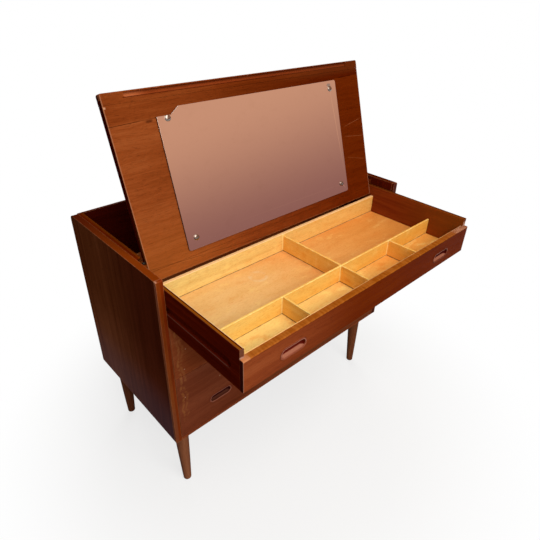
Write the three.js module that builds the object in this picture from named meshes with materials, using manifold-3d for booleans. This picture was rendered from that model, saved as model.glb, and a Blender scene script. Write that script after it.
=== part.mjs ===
// A low teak dressing chest on four turned legs.
// Its flush top is a lid that carries a mirror underneath: it runs back and forth on two pins
// in grooved side strips, and swings up on them over a shallow drawer of open compartments.
// Two deeper drawers lie under the shallow one, all three hung on runners.
// X runs across the width, Y from front to back and Z up. The chest stands on z = 0.
// Places inside the chest are measured from the middle of its front plane, at the carcass underside.

import * as THREE from 'three';
import { mergeVertices } from 'three/addons/utils/BufferGeometryUtils.js';
import Module from 'manifold-3d';

const wasm = await Module();
wasm.setup();

// Carcass, in millimetres
const carcassWidth = 900;
const carcassDepth = 441;
const sideThickness = 18;
const sideFrontRadius = 4;
const sideRearRadius = 12;
const lippingDepth = 8;
const bottomThickness = 18;
const bottomLipThickness = 7;
const backThickness = 8;
const backDrop = 2;

// Clearances
const seatGap = 0.3;
const slideGap = 1.2;
const frontSeam = 2;
const overrun = 4;

// Drawer fronts and the open slot between the top one and the lid
const frontThickness = 18;
const frontLap = 9.6;
const frontArris = 3;
const bottomFrontHeight = 217;
const middleFrontHeight = 168;
const topFrontHeight = 82;
const slotHeight = 32;

// Lid, with its raised pose
const lidThickness = 18;
const lidSetback = 10.5;
const lidRearGap = 2.5;
const lidSideGap = 1;
const lidTail = 49.5;
const lidLean = THREE.MathUtils.degToRad(17);
const lidCornerRadius = 5;
const lidArris = 2.5;
const frontRailWidth = 24;
const rearRailWidth = 25;
const tongueLength = 8;
const tongueThickness = 6;
const fingerGrooveWidth = 10;
const fingerGrooveDepth = 7;
const fingerGrooveEdge = 3;
const fingerGrooveInset = 52;

// Pins and the side strips that they run in
const pinRadius = 3.5;
const pinReach = 7;
const pinDepth = 12;
const pinChamfer = 0.8;
const pinBoreGap = 0.3;
const pinEndGap = 1;
const pinAhead = 17;
const stripWidth = 12.7;
const stripHeight = 24.5;
const stripFront = 118;
const stripArris = 1.5;
const trackPlay = 0.7;
const cradleReach = 28;
const cradleNoseRise = 2.6;
const cradleNoseRadius = 1.3;

// Mirror and the four domed screws that hold it
const mirrorWidth = 608;
const mirrorThickness = 4;
const mirrorFrontMargin = 47;
const mirrorRearMargin = 40;
const mirrorCornerRadius = 6;
const cutCornerDrop = 16;
const cutCornerFlat = 37;
const cutCornerRun = 60;
const screwInsetX = 27;
const screwInsetFront = 22;
const screwInsetRear = 28;
const screwHeadRadius = 7.5;
const screwHeadHeight = 3.1;
const screwHeadRim = 0.8;
const screwShankRadius = 2;
const screwShankDepth = 9;
const screwHoleGap = 0.8;

// Drawer boxes
const drawerSideThickness = 11;
const drawerSideArris = 3;
const drawerRearSpace = 33;
const drawerBackThickness = 10;
const topBackInset = 58;
const lowerBackInset = 6;
const housingDepth = 3;
const floorThickness = 5;
const floorLift = 11;
const floorGrooveDepth = 5;
const lowerSideLift = 12;
const lowerSideDrop = 14;
const lowerBackDrop = 10;
const sideTopGap = 1.5;
const tailClearance = 0.7;
const topHold = 133;

// Dividers of the shallow drawer
const dividerThickness = 5.5;
const dividerDrop = 6.5;
const dividerArris = 1.5;
const longDividerPlace = 118;
const frontCompartments = 4;

// Runners and their grooves
const runnerGrooveHeight = 23;
const runnerGrooveDepth = 6.5;
const runnerGrooveStart = 38;
const runnerPlay = 1.2;
const runnerSideGap = 0.5;
const runnerEndGap = 4;
const runnerRearGap = 8;
const topRunnerLift = 38;
const middleRunnerLift = 62;
const bottomRunnerLift = 86;

// Inlaid finger pulls
const pullLength = 78;
const pullHeight = 30;
const pullProud = 1;
const pullPocketDepth = 13;
const pullRim = 4;
const pullRimRound = 0.8;
const pullScoopDepth = 10.5;
const pullHookRadius = 5.6;
const pullHookDepth = 5;
const pullHookRise = 1.6;
const pullInset = 136.8;
const topPullLift = 36;
const middlePullLift = 62;
const bottomPullLift = 75;

// Turned legs
const legHeight = 250;
const legTopRadius = 22;
const legFootRadius = 12;
const legFootRound = 3.5;
const legWaistRadius = 17.6;
const legSideInset = 47;
const legFrontInset = 57;
const legRearInset = 43;
const legSplay = 8;
const spigotRadius = 10;
const spigotFloor = 5;
const spigotChamfer = 1.5;

// Facets of a full turn and of a quarter turn, the same for small pieces, and the grid of all corners
const turnSteps = 24;
const quarterSteps = 4;
const smallTurnSteps = 16;
const smallQuarterSteps = 3;
const grain = 1 / 1024;

// Levels above the carcass underside
const bottomFrontBase = bottomLipThickness + frontSeam;
const middleFrontBase = bottomFrontBase + bottomFrontHeight + frontSeam;
const topFrontBase = middleFrontBase + middleFrontHeight + frontSeam;
const topFrontTop = topFrontBase + topFrontHeight;
const carcassHeight = topFrontTop + slotHeight + lidThickness;
const pinLevel = carcassHeight - lidThickness / 2;
const stripBase = carcassHeight - stripHeight;
const topSideTop = stripBase - sideTopGap;
const tailRadius = Math.hypot(lidTail, lidThickness / 2);
const topBackTop = pinLevel - tailRadius - tailClearance;
const dividerTop = topBackTop - dividerDrop;

// Half widths, from the middle outwards
const outerHalf = carcassWidth / 2;
const innerHalf = outerHalf - sideThickness;
const betweenHalf = innerHalf - seatGap;
const stripHalf = betweenHalf - stripWidth;
const lidHalf = stripHalf - lidSideGap;
const drawerHalf = innerHalf - slideGap;
const drawerInnerHalf = drawerHalf - drawerSideThickness;
const pullPlace = drawerHalf - pullInset;

// Depths, from the front plane backwards
const backFace = carcassDepth - backThickness;
const drawerRear = backFace - drawerRearSpace;
const topBackFace = drawerRear - topBackInset - drawerBackThickness;
const topPull = drawerRear - topHold;
const pinPlace = stripFront - pinAhead;
const lidLength = backFace - lidRearGap - lidSetback;
const lidReach = lidLength - lidTail;
const mirrorHeight = lidLength - mirrorFrontMargin - mirrorRearMargin;

// Colours and finish of each material
const teakDark = { color: 0x5a2412, roughness: 0.5, metalness: 0 };
const teakSide = { color: 0x4a1c10, roughness: 0.5, metalness: 0 };
const teakFront = { color: 0x7c3a1c, roughness: 0.45, metalness: 0 };
const teakLid = { color: 0x914a24, roughness: 0.45, metalness: 0 };
const teakEdge = { color: 0xa8683a, roughness: 0.55, metalness: 0 };
const teakTurned = { color: 0x83472a, roughness: 0.5, metalness: 0 };
const beech = { color: 0xe8b269, roughness: 0.6, metalness: 0 };
const birchPly = { color: 0xf0c486, roughness: 0.65, metalness: 0 };
const silvered = { color: 0xc9c0b8, roughness: 0.05, metalness: 1 };
const chrome = { color: 0xd8d8da, roughness: 0.15, metalness: 1 };
const steel = { color: 0x9a9794, roughness: 0.35, metalness: 1 };

const chest = new THREE.Group();

function addMesh(parent, name, geometry, finish) {
  const mesh = new THREE.Mesh(geometry, new THREE.MeshStandardMaterial(finish));
  mesh.name = name;
  parent.add(mesh);
  return mesh;
}

// A closed geometry as a solid that can be joined and cut. Its corners are moved to a fine grid
// first, so that faces meant to lie in one plane do.
function solidOf(geometry) {
  const bare = new THREE.BufferGeometry();
  const source = geometry.index ? geometry.toNonIndexed() : geometry;
  const corners = Array.from(source.getAttribute('position').array, (place) => Math.round(place / grain) * grain);
  bare.setAttribute('position', new THREE.Float32BufferAttribute(corners, 3));
  const merged = mergeVertices(bare, grain / 2);
  return new wasm.Manifold(new wasm.Mesh({
    numProp: 3,
    vertProperties: merged.attributes.position.array,
    triVerts: new Uint32Array(merged.index.array),
  }));
}

function geometryOf(solid) {
  const mesh = solid.getMesh();
  const geometry = new THREE.BufferGeometry();
  geometry.setAttribute('position', new THREE.BufferAttribute(mesh.vertProperties, 3));
  geometry.setIndex(new THREE.BufferAttribute(mesh.triVerts, 1));
  geometry.computeVertexNormals();
  return geometry;
}

function cut(body, tools) {
  let solid = solidOf(body);
  for (const tool of tools) {
    solid = solid.subtract(solidOf(tool));
  }
  return geometryOf(solid);
}

function join(bodies) {
  let solid = solidOf(bodies[0]);
  for (const body of bodies.slice(1)) {
    solid = solid.add(solidOf(body));
  }
  return geometryOf(solid);
}

function common(first, second) {
  return geometryOf(solidOf(first).intersect(solidOf(second)));
}

// A plain board between two limits on each axis, given in any order.
function board(xs, ys, zs) {
  const low = new THREE.Vector3(Math.min(...xs), Math.min(...ys), Math.min(...zs));
  const high = new THREE.Vector3(Math.max(...xs), Math.max(...ys), Math.max(...zs));
  const size = high.clone().sub(low);
  const middle = low.clone().add(high).divideScalar(2);
  return new THREE.BoxGeometry(size.x, size.y, size.z).translate(middle.x, middle.y, middle.z);
}

// A rectangle with its own radius at each corner: low-low, high-low, high-high and low-high.
function roundedRectangle(us, vs, radii) {
  const [u0, u1] = [Math.min(...us), Math.max(...us)];
  const [v0, v1] = [Math.min(...vs), Math.max(...vs)];
  const [lowLow, highLow, highHigh, lowHigh] = radii;
  const shape = new THREE.Shape();
  shape.moveTo(u0 + lowLow, v0);
  shape.lineTo(u1 - highLow, v0);
  if (highLow > 0) shape.absarc(u1 - highLow, v0 + highLow, highLow, -Math.PI / 2, 0);
  shape.lineTo(u1, v1 - highHigh);
  if (highHigh > 0) shape.absarc(u1 - highHigh, v1 - highHigh, highHigh, 0, Math.PI / 2);
  shape.lineTo(u0 + lowHigh, v1);
  if (lowHigh > 0) shape.absarc(u0 + lowHigh, v1 - lowHigh, lowHigh, Math.PI / 2, Math.PI);
  shape.lineTo(u0, v0 + lowLow);
  if (lowLow > 0) shape.absarc(u0 + lowLow, v0 + lowLow, lowLow, Math.PI, Math.PI * 1.5);
  return shape;
}

function polygon(points) {
  return new THREE.Shape(points.map(([u, v]) => new THREE.Vector2(u, v)));
}

function extrude(shape, length, curveSegments = quarterSteps) {
  return new THREE.ExtrudeGeometry(shape, { depth: length, bevelEnabled: false, curveSegments });
}

// A section drawn in Y and Z, run along X.
function alongX(shape, xs, curveSegments) {
  const start = Math.min(...xs);
  const turn = new THREE.Matrix4().makeBasis(
    new THREE.Vector3(0, 1, 0),
    new THREE.Vector3(0, 0, 1),
    new THREE.Vector3(1, 0, 0),
  );
  const length = Math.max(...xs) - start;
  return extrude(shape, length, curveSegments).applyMatrix4(turn).translate(start, 0, 0);
}

// A section drawn in X and Z, run along Y.
function alongY(shape, ys, curveSegments) {
  const end = Math.max(...ys);
  const turn = new THREE.Matrix4().makeBasis(
    new THREE.Vector3(1, 0, 0),
    new THREE.Vector3(0, 0, 1),
    new THREE.Vector3(0, -1, 0),
  );
  const length = end - Math.min(...ys);
  return extrude(shape, length, curveSegments).applyMatrix4(turn).translate(0, end, 0);
}

// An outline drawn in X and Y, raised along Z.
function alongZ(shape, zs, curveSegments) {
  const start = Math.min(...zs);
  return extrude(shape, Math.max(...zs) - start, curveSegments).translate(0, 0, start);
}

// A round bar along X between two places.
function barX(radius, xs, y, z) {
  const start = Math.min(...xs);
  const length = Math.max(...xs) - start;
  const bar = new THREE.CylinderGeometry(radius, radius, length, turnSteps);
  return bar.rotateZ(Math.PI / 2).translate(start + length / 2, y, z);
}

// A bar along X with round ends, its whole length given.
function capsuleX(radius, length) {
  const straight = length - radius * 2;
  return new THREE.CapsuleGeometry(radius, straight, smallQuarterSteps, smallTurnSteps).rotateZ(Math.PI / 2);
}

// A slot outline with half-round ends, drawn about the middle.
function slotOutline(length, height) {
  const radius = height / 2;
  return roundedRectangle([-length / 2, length / 2], [-radius, radius], [radius, radius, radius, radius]);
}

// A solid turned about Z from points of radius and height, listed from the bottom up.
function turned(points, steps) {
  const profile = points.map(([radius, height]) => new THREE.Vector2(radius, height));
  return new THREE.LatheGeometry(profile, steps).rotateX(Math.PI / 2);
}

// Points of a quarter round between two directions, in radians, about a centre.
function roundPoints(centreRadius, centreHeight, radius, from, to) {
  const points = [];
  for (let step = 0; step <= quarterSteps; step += 1) {
    const angle = from + (to - from) * step / quarterSteps;
    points.push([centreRadius + radius * Math.cos(angle), centreHeight + radius * Math.sin(angle)]);
  }
  return points;
}

// Side panels, each with a solid lipping glued to its front edge.
const sides = [['left', -1], ['right', 1]];

function addCarcassSides() {
  for (const [label, way] of sides) {
    const xs = [way * outerHalf, way * innerHalf];
    const panelFront = lippingDepth + seatGap;
    const panel = roundedRectangle([panelFront, carcassDepth], [0, carcassHeight], [0, 0, sideRearRadius, 0]);
    addMesh(chest, `side_panel_${label}`, alongX(panel, xs), teakSide);
    const edge = roundedRectangle([0, lippingDepth], [0, carcassHeight], [0, 0, 0, sideFrontRadius]);
    addMesh(chest, `side_lipping_${label}`, alongX(edge, xs), teakEdge);
  }
}

// The bottom board steps down at the front to a thin lip under the bottom drawer's front.
function addBottomAndBack() {
  const stepPlace = frontThickness + frontSeam;
  const section = polygon([
    [0, 0],
    [backFace - seatGap, 0],
    [backFace - seatGap, bottomThickness],
    [stepPlace, bottomThickness],
    [stepPlace, bottomLipThickness],
    [0, bottomLipThickness],
  ]);
  const bottom = alongX(section, [-betweenHalf, betweenHalf]);
  const sockets = legPlaces().map(({ x, y }) => {
    const socket = new THREE.CylinderGeometry(
      spigotRadius + seatGap,
      spigotRadius + seatGap,
      (bottomThickness - spigotFloor + seatGap) * 2,
      turnSteps,
    );
    return socket.rotateX(Math.PI / 2).translate(x, y, 0);
  });
  addMesh(chest, 'bottom_panel', cut(bottom, sockets), teakDark);
  const backSize = [0, carcassHeight - backDrop];
  const back = board([-betweenHalf, betweenHalf], [backFace, carcassDepth], backSize);
  addMesh(chest, 'back_panel', back, teakDark);
}

// Each strip is flush with the top of its side. A track is cut along its inner face, and its
// lower half runs on as a cradle whose nose holds the pin of the raised lid.
function addGuideStrips() {
  const trackHalf = pinRadius + trackPlay;
  const trackFloor = lidHalf + pinReach + pinEndGap;
  const cradleFront = stripFront - cradleReach;
  const cradleTop = pinLevel - trackHalf;
  const noseTop = cradleTop + cradleNoseRise;
  const noseRear = pinPlace - pinRadius - seatGap;
  const stripRear = backFace - seatGap;
  for (const [label, way] of sides) {
    const upper = roundedRectangle([stripFront, stripRear], [stripBase, carcassHeight], [0, 0, 0, stripArris]);
    const lower = roundedRectangle([cradleFront, stripFront + overrun], [stripBase, cradleTop], [stripArris, 0, 0, 0]);
    const nose = roundedRectangle(
      [cradleFront, noseRear],
      [stripBase, noseTop],
      [stripArris, 0, cradleNoseRadius, cradleNoseRadius],
    );
    const xs = [way * betweenHalf, way * stripHalf];
    const whole = join([alongX(upper, xs), alongX(lower, xs), alongX(nose, xs)]);
    const track = board(
      [way * (stripHalf - overrun), way * trackFloor],
      [stripFront - overrun, stripRear + overrun],
      [pinLevel - trackHalf, pinLevel + trackHalf],
    );
    addMesh(chest, `guide_strip_${label}`, cut(whole, [track]), teakDark);
  }
}

// A runner is a strip with a round front end, on the side panel and inside the drawer's groove.
function addRunners(label, grooveBase) {
  const top = grooveBase + runnerGrooveHeight - seatGap;
  const base = grooveBase + runnerPlay;
  const radius = (top - base) / 2;
  const front = runnerGrooveStart + runnerEndGap;
  const outline = roundedRectangle([front, backFace - runnerRearGap], [base, top], [radius, 0, 0, radius]);
  const inner = drawerHalf - runnerGrooveDepth + runnerSideGap;
  for (const [side, way] of sides) {
    addMesh(chest, `runner_${label}_${side}`, alongX(outline, [way * betweenHalf, way * inner]), beech);
  }
}

// Places of the four legs under the carcass, and which way each foot leans.
function legPlaces() {
  const places = [];
  for (const [label, way] of sides) {
    const x = way * (outerHalf - legSideInset);
    places.push({ name: `leg_front_${label}`, x, y: legFrontInset, lean: -legSplay });
    places.push({ name: `leg_rear_${label}`, x, y: carcassDepth - legRearInset, lean: legSplay });
  }
  return places;
}

// A turned leg: a rounded foot, a long taper that fills out under the carcass, and a spigot.
function addLegs() {
  const shoulder = -seatGap;
  const spigotTop = bottomThickness - spigotFloor;
  const footCentre = [legFootRadius - legFootRound, legFootRound - legHeight];
  const profile = [
    [0, -legHeight],
    ...roundPoints(...footCentre, legFootRound, -Math.PI / 2, 0),
    [legWaistRadius, -legHeight / 2],
    [legTopRadius, shoulder],
    [spigotRadius, shoulder],
    [spigotRadius, spigotTop - spigotChamfer],
    [spigotRadius - spigotChamfer, spigotTop],
    [0, spigotTop],
  ];
  for (const { name, x, y, lean } of legPlaces()) {
    const leg = turned(profile, turnSteps);
    const slant = new THREE.Matrix4().makeShear(0, 0, 0, 0, 0, -lean / legHeight);
    const straightened = spigotStraight(leg.applyMatrix4(slant), lean);
    addMesh(chest, name, straightened.translate(x, y, 0), teakTurned);
  }
}

// The spigot stands upright in its socket, so only what lies under the carcass leans.
function spigotStraight(leg, lean) {
  const position = leg.getAttribute('position');
  for (let index = 0; index < position.count; index += 1) {
    const height = position.getZ(index);
    if (height > 0) position.setY(index, position.getY(index) + lean * height / legHeight);
  }
  return leg;
}

// A pull: a slot-shaped inlay with a proud rim, scooped out, with a hook for the fingertips
// behind the rim's upper edge.
function pullGeometry() {
  const depth = pullPocketDepth - seatGap + pullProud - pullRimRound * 2;
  const outline = slotOutline(pullLength - pullRimRound * 2, pullHeight - pullRimRound * 2);
  const blank = new THREE.ExtrudeGeometry(outline, {
    depth,
    bevelThickness: pullRimRound,
    bevelSize: pullRimRound,
    bevelSegments: 2,
    curveSegments: quarterSteps,
  });
  const turn = new THREE.Matrix4().makeBasis(
    new THREE.Vector3(1, 0, 0),
    new THREE.Vector3(0, 0, 1),
    new THREE.Vector3(0, -1, 0),
  );
  blank.applyMatrix4(turn).translate(0, depth + pullRimRound - pullProud, 0);
  const openLength = pullLength - pullRim * 2;
  const openHeight = pullHeight - pullRim * 2;
  const scoopRadius = openHeight / 2;
  const scoop = capsuleX(scoopRadius, openLength);
  scoop.scale(1, pullScoopDepth / scoopRadius, 1).translate(0, -pullProud, 0);
  const hook = capsuleX(pullHookRadius, openLength - (scoopRadius - pullHookRadius) * 2);
  hook.translate(0, pullHookDepth, scoopRadius - pullHookRadius + pullHookRise);
  return cut(blank, [scoop, hook]);
}

// The pocket in a drawer front that a pull is let into.
function pullPocket() {
  const outline = slotOutline(pullLength + seatGap * 2, pullHeight + seatGap * 2);
  return alongY(outline, [-overrun, pullPocketDepth], quarterSteps);
}

// A drawer box: front with rebated ends, grooved sides, a back housed between them and a thin floor.
// Places are those of the closed drawer, and the group carries it out along -Y.
function addDrawer(label, sizes) {
  const drawer = new THREE.Group();
  drawer.position.y = -sizes.pull;
  chest.add(drawer);
  const { frontBase, frontHeight, sideBase, sideTop, backTop, backFaceAt, grooveBase, pullLift } = sizes;
  const floorBase = sideBase + floorLift;
  const floorTop = floorBase + floorThickness;
  const floorSlot = [floorBase - seatGap, floorTop + seatGap];
  const backRear = backFaceAt + drawerBackThickness;

  const section = roundedRectangle(
    [0, frontThickness],
    [frontBase, frontBase + frontHeight],
    [frontArris / 2, 0, frontArris / 2, frontArris],
  );
  const frontTools = [];
  for (const [, way] of sides) {
    frontTools.push(board(
      [way * (drawerInnerHalf - seatGap), way * (drawerHalf + overrun)],
      [frontLap, frontThickness + overrun],
      [frontBase - overrun, frontBase + frontHeight + overrun],
    ));
    frontTools.push(pullPocket().translate(way * pullPlace, 0, frontBase + pullLift));
  }
  frontTools.push(board(
    [-drawerHalf - overrun, drawerHalf + overrun],
    [frontThickness - floorGrooveDepth - seatGap, frontThickness + overrun],
    floorSlot,
  ));
  const front = alongX(section, [-drawerHalf, drawerHalf]);
  addMesh(drawer, `drawer_${label}_front`, cut(front, frontTools), teakFront);

  for (const [side, way] of sides) {
    const pull = addMesh(drawer, `drawer_${label}_pull_${side}`, pullGeometry(), teakEdge);
    pull.position.set(way * pullPlace, 0, frontBase + pullLift);

    const radii = [0, 0, drawerSideArris, drawerSideArris];
    const across = [way * drawerInnerHalf, way * drawerHalf];
    const plain = alongY(roundedRectangle(across, [sideBase, sideTop], radii), [frontLap + seatGap, drawerRear]);
    const grooveRadius = runnerGrooveHeight / 2;
    const runnerGroove = roundedRectangle(
      [runnerGrooveStart, drawerRear + overrun],
      [grooveBase, grooveBase + runnerGrooveHeight],
      [grooveRadius, 0, 0, grooveRadius],
    );
    const sideTools = [
      alongX(runnerGroove, [way * (drawerHalf - runnerGrooveDepth), way * (drawerHalf + overrun)]),
      board(
        [way * (drawerInnerHalf - overrun), way * (drawerInnerHalf + floorGrooveDepth)],
        [frontLap - overrun, backRear + seatGap],
        floorSlot,
      ),
      board(
        [way * (drawerInnerHalf - overrun), way * (drawerInnerHalf + housingDepth)],
        [backFaceAt - seatGap, backRear + seatGap],
        [floorBase - seatGap, backTop + seatGap],
      ),
    ];
    if (sizes.dividers) {
      sideTools.push(board(
        [way * (drawerInnerHalf - overrun), way * (drawerInnerHalf + housingDepth)],
        [longDividerPlace - seatGap, longDividerPlace + dividerThickness + seatGap],
        [floorBase - seatGap, dividerTop + seatGap],
      ));
    }
    addMesh(drawer, `drawer_${label}_side_${side}`, cut(plain, sideTools), sizes.sideFinish);
  }

  const backHalf = drawerInnerHalf + housingDepth - seatGap;
  const backSection = roundedRectangle(
    [backFaceAt, backRear],
    [floorTop + seatGap, backTop],
    [0, 0, dividerArris, dividerArris],
  );
  addMesh(drawer, `drawer_${label}_back`, alongX(backSection, [-backHalf, backHalf]), beech);

  const floorHalf = drawerInnerHalf + floorGrooveDepth - seatGap;
  const floor = board(
    [-floorHalf, floorHalf],
    [frontThickness - floorGrooveDepth, backRear],
    [floorBase, floorTop],
  );
  addMesh(drawer, `drawer_${label}_floor`, floor, birchPly);
  if (sizes.dividers) addDividers(drawer, floorTop + seatGap);
}

// One long divider housed in the sides, one short divider behind it and evenly spaced ones before it.
function addDividers(drawer, base) {
  const half = drawerInnerHalf + housingDepth - seatGap;
  const longRear = longDividerPlace + dividerThickness;
  const radii = [0, 0, dividerArris, dividerArris];
  const longSection = roundedRectangle([longDividerPlace, longRear], [base, dividerTop], radii);
  addMesh(drawer, 'divider_long', alongX(longSection, [-half, half]), beech);
  const acrossAt = (x) => roundedRectangle(
    [x - dividerThickness / 2, x + dividerThickness / 2],
    [base, dividerTop],
    radii,
  );
  const rearSpan = [longRear + seatGap, topBackFace - seatGap];
  addMesh(drawer, 'divider_rear', alongY(acrossAt(0), rearSpan), beech);
  const frontSpan = [frontThickness + seatGap, longDividerPlace - seatGap];
  for (let index = 1; index < frontCompartments; index += 1) {
    const x = drawerInnerHalf * (index * 2 / frontCompartments - 1);
    addMesh(drawer, `divider_front_${index}`, alongY(acrossAt(x), frontSpan), beech);
  }
}

function addDrawers() {
  addDrawer('top', {
    pull: topPull,
    frontBase: topFrontBase,
    frontHeight: topFrontHeight,
    sideBase: topFrontBase,
    sideTop: topSideTop,
    backTop: topBackTop,
    backFaceAt: topBackFace,
    grooveBase: topFrontBase + topRunnerLift,
    pullLift: topPullLift,
    sideFinish: teakFront,
    dividers: true,
  });
  addRunners('top', topFrontBase + topRunnerLift);
  const lower = [
    ['middle', middleFrontBase, middleFrontHeight, middleRunnerLift, middlePullLift],
    ['bottom', bottomFrontBase, bottomFrontHeight, bottomRunnerLift, bottomPullLift],
  ];
  for (const [label, frontBase, frontHeight, runnerLift, pullLift] of lower) {
    const sideTop = frontBase + frontHeight - lowerSideDrop;
    addDrawer(label, {
      pull: 0,
      frontBase,
      frontHeight,
      sideBase: frontBase + lowerSideLift,
      sideTop,
      backTop: sideTop - lowerBackDrop,
      backFaceAt: drawerRear - lowerBackInset - drawerBackThickness,
      grooveBase: frontBase + runnerLift,
      pullLift,
      sideFinish: beech,
      dividers: false,
    });
    addRunners(label, frontBase + runnerLift);
  }
}

// The lid lies about its pins: -Y runs from them to its front edge and Z through its thickness.
// The group then stands it up, leaning back.
function addLid() {
  const lid = new THREE.Group();
  lid.position.set(0, pinPlace, pinLevel);
  lid.rotation.x = -(Math.PI / 2 + lidLean);
  chest.add(lid);
  const half = lidThickness / 2;
  const frontEdge = -lidReach;
  const frontSeamAt = frontEdge + frontRailWidth;
  const rearSeamAt = lidTail - rearRailWidth;
  const tongue = tongueThickness / 2;
  const across = [-lidHalf, lidHalf];
  const corner = lidCornerRadius;
  const plan = alongZ(
    roundedRectangle(across, [frontEdge, lidTail], [corner, corner, corner / 2, corner / 2]),
    [-lidThickness, lidThickness],
  );

  const panelFront = frontSeamAt + seatGap;
  const panelRear = rearSeamAt - seatGap;
  const tongueReach = tongueLength - seatGap * 2;
  const panelSection = polygon([
    [panelFront, -half],
    [panelRear, -half],
    [panelRear, -tongue],
    [panelRear + tongueReach, -tongue],
    [panelRear + tongueReach, tongue],
    [panelRear, tongue],
    [panelRear, half],
    [panelFront, half],
    [panelFront, tongue],
    [panelFront - tongueReach, tongue],
    [panelFront - tongueReach, -tongue],
    [panelFront, -tongue],
  ]);
  const bores = sides.map(([, way]) => barX(
    pinRadius + pinBoreGap,
    [way * (lidHalf - pinDepth - pinBoreGap), way * (lidHalf + overrun)],
    0,
    0,
  ));
  const screwHoles = screwPlaces().map(({ x, y }) => {
    const hole = new THREE.CylinderGeometry(
      screwShankRadius + seatGap,
      screwShankRadius + seatGap,
      screwShankDepth + seatGap + overrun,
      smallTurnSteps,
    );
    const middle = -half + (screwShankDepth + seatGap - overrun) / 2;
    return hole.rotateX(Math.PI / 2).translate(x, y, middle);
  });
  const panel = cut(alongX(panelSection, across), [...bores, ...screwHoles]);
  addMesh(lid, 'lid_panel', panel, teakLid);

  const slot = [-tongue - seatGap, tongue + seatGap];
  const groove = board([-lidHalf - overrun, lidHalf + overrun], [frontSeamAt - tongueLength, frontSeamAt + overrun], slot);
  const frontSection = roundedRectangle([frontEdge, frontSeamAt], [-half, half], [lidArris, 0, 0, lidArris]);
  const fingerRadius = fingerGrooveWidth / 2;
  const fingerLength = (lidHalf - fingerGrooveInset) * 2;
  const fingerPlace = frontEdge + fingerGrooveEdge + fingerRadius;
  const fingerWall = fingerGrooveDepth - fingerRadius;
  const fingerFloor = capsuleX(fingerRadius, fingerLength).translate(0, fingerPlace, fingerWall - half);
  const fingerMouth = alongZ(slotOutline(fingerLength, fingerGrooveWidth), [-half - overrun, fingerWall - half], quarterSteps * 2);
  fingerMouth.translate(0, fingerPlace, 0);
  const frontRail = cut(common(alongX(frontSection, across), plan), [groove, fingerFloor, fingerMouth]);
  addMesh(lid, 'lid_front_rail', frontRail, teakLid);

  const rearGroove = board([-lidHalf - overrun, lidHalf + overrun], [rearSeamAt - overrun, rearSeamAt + tongueLength], slot);
  const rearSection = roundedRectangle([rearSeamAt, lidTail], [-half, half], [0, 0, 0, 0]);
  const rearRail = cut(common(alongX(rearSection, across), plan), [rearGroove]);
  addMesh(lid, 'lid_rear_rail', rearRail, teakLid);
  addMirror(lid);
}

// Places of the four mirror screws on the lid.
function screwPlaces() {
  const mirrorFront = mirrorFrontMargin - lidReach;
  const places = [];
  for (const [label, way] of sides) {
    const x = way * (mirrorWidth / 2 - screwInsetX);
    places.push({ name: `mirror_screw_front_${label}`, x, y: mirrorFront + screwInsetFront });
    places.push({ name: `mirror_screw_rear_${label}`, x, y: mirrorFront + mirrorHeight - screwInsetRear });
  }
  return places;
}

// The mirror lies against the lid's underside. One front corner is cut back in a step and a slant.
function addMirror(lid) {
  const x0 = -mirrorWidth / 2;
  const x1 = mirrorWidth / 2;
  const y0 = mirrorFrontMargin - lidReach;
  const y1 = y0 + mirrorHeight;
  const radius = mirrorCornerRadius;
  const outline = new THREE.Shape();
  outline.moveTo(x0 + cutCornerRun, y0);
  outline.lineTo(x1 - radius, y0);
  outline.absarc(x1 - radius, y0 + radius, radius, -Math.PI / 2, 0);
  outline.lineTo(x1, y1 - radius);
  outline.absarc(x1 - radius, y1 - radius, radius, 0, Math.PI / 2);
  outline.lineTo(x0 + radius, y1);
  outline.absarc(x0 + radius, y1 - radius, radius, Math.PI / 2, Math.PI);
  outline.lineTo(x0, y0 + cutCornerDrop);
  outline.lineTo(x0 + cutCornerFlat, y0 + cutCornerDrop);
  outline.closePath();
  for (const { x, y } of screwPlaces()) {
    const hole = new THREE.Path();
    hole.absarc(x, y, screwShankRadius + screwHoleGap, 0, Math.PI * 2, true);
    outline.holes.push(hole);
  }
  const face = -lidThickness / 2 - seatGap;
  addMesh(lid, 'mirror', alongZ(outline, [face - mirrorThickness, face], smallQuarterSteps), silvered);
  const seat = face - mirrorThickness - seatGap;
  const shankTop = screwShankDepth - lidThickness / 2;
  for (const { name, x, y } of screwPlaces()) {
    addMesh(lid, name, screwGeometry(seat, shankTop).translate(x, y, 0), chrome);
  }
}

// A screw with a domed cap, its head down and its shank up in the lid.
function screwGeometry(seat, shankTop) {
  const rimBase = seat - screwHeadRim;
  const dome = [];
  for (let step = 0; step <= smallQuarterSteps; step += 1) {
    const angle = Math.PI / 2 * step / smallQuarterSteps;
    const drop = (screwHeadHeight - screwHeadRim) * Math.cos(angle);
    dome.push([screwHeadRadius * Math.sin(angle), rimBase - drop]);
  }
  return turned([
    ...dome,
    [screwHeadRadius, seat],
    [screwShankRadius, seat],
    [screwShankRadius, shankTop],
    [0, shankTop],
  ], smallTurnSteps);
}

// The two pins that the lid swings on, in its edges and in the tracks of the strips.
function addPins() {
  const length = pinDepth + pinReach;
  const profile = [
    [0, 0],
    [pinRadius, 0],
    [pinRadius, length - pinChamfer],
    [pinRadius - pinChamfer, length],
    [0, length],
  ];
  for (const [label, way] of sides) {
    const pin = turned(profile, smallTurnSteps).rotateY(way * Math.PI / 2);
    pin.translate(way * (lidHalf - pinDepth), pinPlace, pinLevel);
    addMesh(chest, `lid_pin_${label}`, pin, steel);
  }
}

addCarcassSides();
addBottomAndBack();
addGuideStrips();
addLegs();
addDrawers();
addLid();
addPins();

// The part's origin is on the floor, under the middle of the chest as it stands with its drawer out.
const group = new THREE.Group();
chest.position.set(0, (topPull + pullProud - carcassDepth) / 2, legHeight);
group.add(chest);

export default group;
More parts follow.
